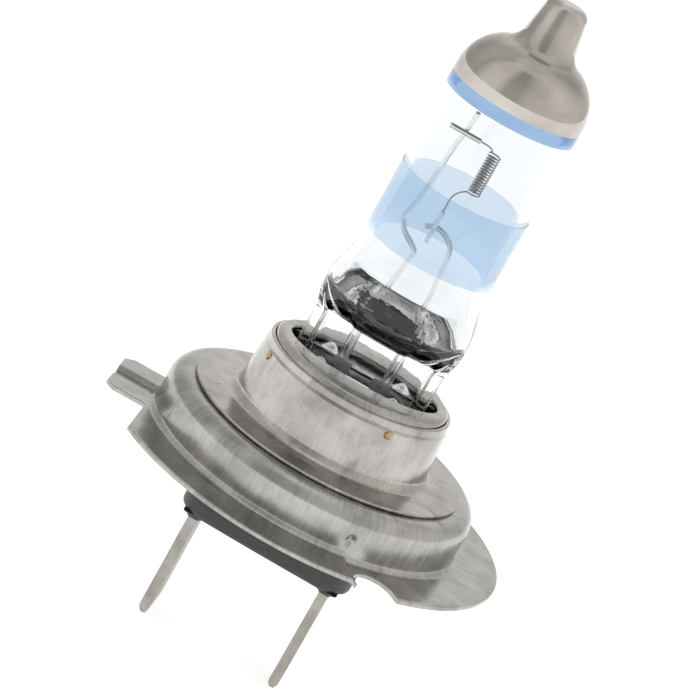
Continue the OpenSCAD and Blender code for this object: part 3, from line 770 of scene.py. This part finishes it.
def flange_section(a):
    signed = math.atan2(math.sin(a), math.cos(a))
    share = min(max((abs(signed) - BEND + BEND_HALF) / (2 * BEND_HALF), 0), 1)
    dz = -LOBE_DROP * (1 - share * share * (3 - 2 * share))
    edge = flange_edge(a)
    wall_z = COLLAR_TOP_Z - COLLAR_ROUND
    shoulder = [(MOUTH_R + (COLLAR_R - COLLAR_ROUND - MOUTH_R) * k / 4, COLLAR_TOP_Z) for k in range(4)]
    for k in range(13):
        t = math.radians(90 * k / 12)
        shoulder.append((COLLAR_R - COLLAR_ROUND + COLLAR_ROUND * math.sin(t),
                         wall_z + COLLAR_ROUND * math.cos(t)))
    root_z = ROOT_R + dz
    wall = [(COLLAR_R, wall_z + (root_z - wall_z) * k / 10) for k in range(1, 10)]
    root = []
    for k in range(8):
        t = math.radians(90 * k / 7)
        root.append((COLLAR_R + ROOT_R * (1 - math.cos(t)), root_z - ROOT_R * math.sin(t)))
    start = COLLAR_R + ROOT_R
    flat = [start + (max(edge, start + 0.02) - 0.1 - start) * k / 16 for k in range(1, 17)]
    upper = shoulder + wall + root + [(r, dz) for r in flat] + [(edge - 0.025, dz - 0.02), (edge, dz - 0.08)]
    lower = [(edge, dz - SHEET + 0.06), (edge - 0.03, dz - SHEET)] + [(r, dz - SHEET) for r in flat[::-1]]
    inner = [(COLLAR_R - SHEET, dz - SHEET), (COLLAR_R - SHEET, wall_z)]
    for k in range(1, 9):
        t = math.radians(90 * k / 8)
        inner.append((COLLAR_R - COLLAR_ROUND + (COLLAR_ROUND - SHEET) * math.cos(t),
                      wall_z + (COLLAR_ROUND - SHEET) * math.sin(t)))
    inner.append((MOUTH_R, COLLAR_TOP_Z - SHEET))
    loop = []
    for r, z in upper + lower + inner:
        dent = 0.22 * math.exp(-((signed - DENT[0]) * COLLAR_R / 0.35) ** 2 - ((z - DENT[1]) / 0.5) ** 2)
        loop.append((r - dent, z - sunk(r * math.cos(a), r * math.sin(a))))
    return loop


def build_base():
    angles = [a + TURN for a in flange_angles()]
    polar_shell("base_ring", angles, lambda a: flange_section(a - TURN), STAMPED,
                ["collar_flange"], 40)


# ---------------------------------------------------------------- connector
def rounded_ring(half_x, half_y, corner, z, bow=0.0, steps=12):
    """A rounded rectangle at one height; bow pushes the long sides out at their middle."""
    ring = []
    for sx, sy, start in ((1, 1, 0), (-1, 1, 90), (-1, -1, 180), (1, -1, 270)):
        for k in range(steps + 1):
            a = math.radians(start + 90 * k / steps)
            x = sx * (half_x - corner) + corner * math.cos(a)
            y = sy * (half_y - corner) + corner * math.sin(a)
            ring.append((x, y, z))
        if sx == sy:
            far = (half_x - corner) * 0.98
            for k in range(1, 16):
                ring.append((sx * far * (1 - k / 8), sy * half_y, z))
    return [(x, y + math.copysign(bow * (1 - (x / half_x) ** 2), y), z) for x, y, z in ring]


def build_connector():
    half_x, half_y, corner = 7.3, 3.25, 2.4
    bottom = low("insulator")[2] + 0.36
    bow = 0.15
    rings = []
    for inset, z in ((0.55, bottom), (0.3, bottom + 0.05), (0.12, bottom + 0.16), (0.02, bottom + 0.36),
                     (0, bottom + 0.6), (0, -3.5), (0, -0.4)):
        rings.append(rounded_ring(half_x - inset, half_y - inset, corner - inset * 0.6, z, bow))
    for grow, z in ((0.85, -0.4), (0.9, -0.35), (0.9, 0.32), (0.82, 0.4)):
        rings.append(rounded_ring(half_x + grow, half_y + grow, corner + grow * 0.5, z, bow))
    loft("plastic_insulator", rings, PLASTIC, ["insulator"], 40)
    for name, sign in (("left", -1), ("right", 1)):
        x = sign * 5.75
        root = []
        for grow, z in ((0.55, bottom + 0.1), (0.5, bottom), (0.3, bottom - 0.1), (0.16, bottom - 0.22),
                        (0.1, bottom - 0.34), (0.02, bottom - 0.36)):
            ring = rounded_ring(0.4 + grow, 2.4 + grow, 0.2, z, 0, 4)
            root.append([(px + x, py, pz) for px, py, pz in ring])
        loft(f"{name}_terminal_root", root, PLASTIC, (), 50)
        tip = FLOOR_Z
        blade = []
        for half_t, half_w, z in ((0.13, 1.3, tip), (0.2, 1.45, tip + 0.05), (0.36, 1.9, tip + 0.5),
                                  (0.39, 2.2, tip + 0.75), (0.4, 2.37, tip + 1.0), (0.4, 2.4, tip + 1.15),
                                  (0.4, 2.4, -10), (0.4, 2.4, -5.0), (0.4, 2.4, -3.95)):
            blade.append([(px + x, py, pz) for px, py, pz in rounded_ring(half_t, half_w, 0.09, z, 0, 4)])
        loft(f"{name}_blade", blade, TERMINAL, [f"{name}_terminal"], 30)


build_bulb()
build_leads()
build_neck()
build_base()
build_connector()

# CAD nodes that keep their own mesh
KEPT = {"left_sealing_foil": FOIL, "right_sealing_foil": FOIL, "left_outer_lead": MOLY,
        "right_outer_lead": MOLY, "rear_plate": SATIN, "left_lead_weld": WELD, "right_lead_weld": WELD}
for name, material in KEPT.items():
    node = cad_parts[name]
    node.data.materials.clear()
    node.data.materials.append(material)


# ---------------------------------------------------------------- studio
# Brightness of the soft light round the part, by share of a turn from -X by way of -Y
SOFT_LIGHT = ((0.0, 0.6), (0.06, 0.95), (0.14, 0.95), (0.19, 0.55), (0.25, 0.55), (0.30, 0.8), (0.42, 1.0),
              (0.57, 1.0), (0.64, 0.8), (0.72, 1.0), (0.79, 1.0), (0.88, 0.7))
LIGHT_TINT = (1, 0.985, 0.96)
OVERHEAD = 1.0
OVERHEAD_SPAN = (0.9, 0.98)
WORLD_STRENGTH = 0.95
FLOOR_GLOW = 0.74
FLOOR_REACH = 3000


def backdrop():
    """A plain pale floor, the same all round the part."""
    s = Shader("studio_floor", Roughness=0.9, Emission_Color=(1, 1, 1, 1), Emission_Strength=FLOOR_GLOW)
    haze = s.noise(s.coordinates(), 0.02, 2.0)
    s.set("Base Color", s.ramp(haze, (0.3, (0.62, 0.62, 0.62)), (0.7, (0.66, 0.66, 0.66))))
    corners = ((-1, -1), (1, -1), (1, 1), (-1, 1))
    mesh = bpy.data.meshes.new("floor")
    mesh.from_pydata([(x * FLOOR_REACH * MM, y * FLOOR_REACH * MM, FLOOR_Z * MM) for x, y in corners],
                     [], [(0, 1, 2, 3)])
    mesh.materials.append(s.mat)
    floor = bpy.data.objects.new("floor", mesh)
    bpy.context.scene.collection.objects.link(floor)


def studio_world():
    """A soft pale studio light, a little brighter at the sides and overhead than in front."""
    world = bpy.data.worlds.new("studio")
    bpy.context.scene.world = world
    world.use_nodes = True
    n = Nodes(world.node_tree)
    split = n.node("ShaderNodeSeparateXYZ")
    n.link(n.node("ShaderNodeTexCoord").outputs["Generated"], split.inputs[0])
    round_about = n.ramp(n.share_of_turn(split.outputs["X"], split.outputs["Y"]),
                         *[(place, tuple(value * tint for tint in LIGHT_TINT)) for place, value in SOFT_LIGHT])
    up = n.remap(split.outputs["Z"], *OVERHEAD_SPAN, 0, 1, smooth=True)
    background = n.tree.nodes["Background"]
    n.link(n.mix(up, round_about, (OVERHEAD,) * 3), background.inputs["Color"])
    background.inputs["Strength"].default_value = WORLD_STRENGTH


def camera():
    """Azimuth 0 would look along +Y; the roll leans the lamp's tip to the right."""
    azimuth, elevation, roll = (math.radians(x) for x in (2.4, 16.64, -29.36))
    distance, aim = 248.18, Vector((-1.69, -0.07, 10.35))
    back = Vector((math.sin(azimuth) * math.cos(elevation), -math.cos(azimuth) * math.cos(elevation),
                   math.sin(elevation)))
    data = bpy.data.cameras.new("camera")
    data.sensor_width = 36
    data.lens = 169.8
    data.clip_start, data.clip_end = 0.01, 10
    obj = bpy.data.objects.new("camera", data)
    right = (-back).cross(Vector((0, 0, 1))).normalized()
    up0 = right.cross(-back)
    up = up0 * math.cos(roll) + right * math.sin(roll)
    right = (-back).cross(up)
    obj.matrix_world = Matrix.Translation((aim + back * distance) * MM) @ Matrix(
        (right, up, back)).transposed().to_4x4()
    bpy.context.scene.collection.objects.link(obj)
    bpy.context.scene.camera = obj


backdrop()
studio_world()
camera()
bpy.context.scene.view_settings.view_transform = "Standard"
